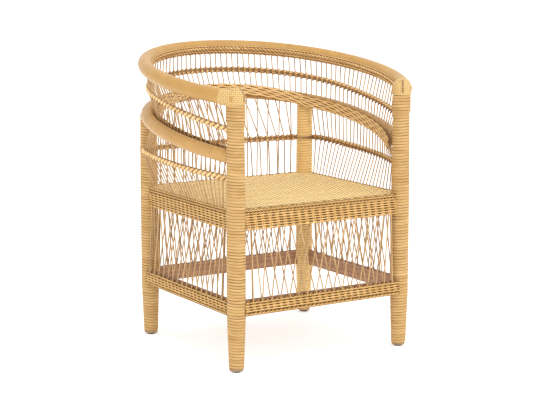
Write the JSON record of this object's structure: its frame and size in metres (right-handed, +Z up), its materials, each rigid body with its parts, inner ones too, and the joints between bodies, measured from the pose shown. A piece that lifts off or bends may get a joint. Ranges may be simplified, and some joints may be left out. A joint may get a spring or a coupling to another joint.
{
  "type": "armchair",
  "caption": "Cane-wound armchair with round posts, U-shaped rim and arm ring on an open wall of braided stakes, a woven square seat and crossed cane lattices below it.",
  "frame": {"origin": "on the floor, under the centre of the whole chair's box", "axes": "+Z up, the front faces -Y, +X to the right as seen from the front"},
  "size_m": [0.7768, 0.7003, 0.8834],
  "materials": {
    "pole_wood": "round wooden pole, hidden under its winding",
    "post_wrap": "split cane wound tightly in ribs, satin",
    "hoop_wrap": "wide smooth cane peel wound over a core, satin",
    "cane_strand": "twisted cane strands, satin",
    "stake_cane": "thin round canes, satin",
    "woven_cane": "close woven split cane, satin",
    "board_wood": "sawn brown wood, matte",
    "glide": "dark matte plastic"
  },
  "bodies": {
    "root": {"post_pole_front_left": "pole_wood", "post_pole_front_right": "pole_wood", "post_pole_rear_left": "pole_wood", "post_pole_rear_right": "pole_wood", "post_winding_front_left": "post_wrap", "post_winding_front_right": "post_wrap", "post_winding_rear_left": "post_wrap", "post_winding_rear_right": "post_wrap", "post_lashings": "post_wrap", "foot_glides": "glide", "top_rim": "hoop_wrap", "arm_ring": "hoop_wrap", "rim_cap_left": "woven_cane", "rim_cap_right": "woven_cane", "arm_band": "woven_cane", "seat_mat": "woven_cane", "apron_front": "woven_cane", "apron_rear": "woven_cane", "apron_left": "woven_cane", "apron_right": "woven_cane", "stretcher_band_front": "woven_cane", "stretcher_band_rear": "woven_cane", "stretcher_band_left": "woven_cane", "stretcher_band_right": "woven_cane", "rim_braid": "cane_strand", "upper_braid_outer": "cane_strand", "upper_braid_inner": "cane_strand", "lower_braid_belts": "cane_strand", "lower_braid_right": "cane_strand", "lower_braid_rear": "cane_strand", "lower_braid_left": "cane_strand", "wall_stakes_right": "stake_cane", "wall_stakes_rear": "stake_cane", "wall_stakes_left": "stake_cane", "wall_stakes_corner": "stake_cane", "lattice_front": "stake_cane", "lattice_rear": "stake_cane", "lattice_left": "stake_cane", "lattice_right": "stake_cane", "stretcher_board_front": "board_wood", "stretcher_board_rear": "board_wood", "stretcher_board_left": "board_wood", "stretcher_board_right": "board_wood", "seat_rail_front": "board_wood", "seat_rail_rear": "board_wood", "seat_rail_left": "board_wood", "seat_rail_right": "board_wood", "seat_slat_1": "board_wood", "seat_slat_2": "board_wood", "seat_slat_3": "board_wood", "seat_slat_4": "board_wood"}
  },
  "joints": []
}
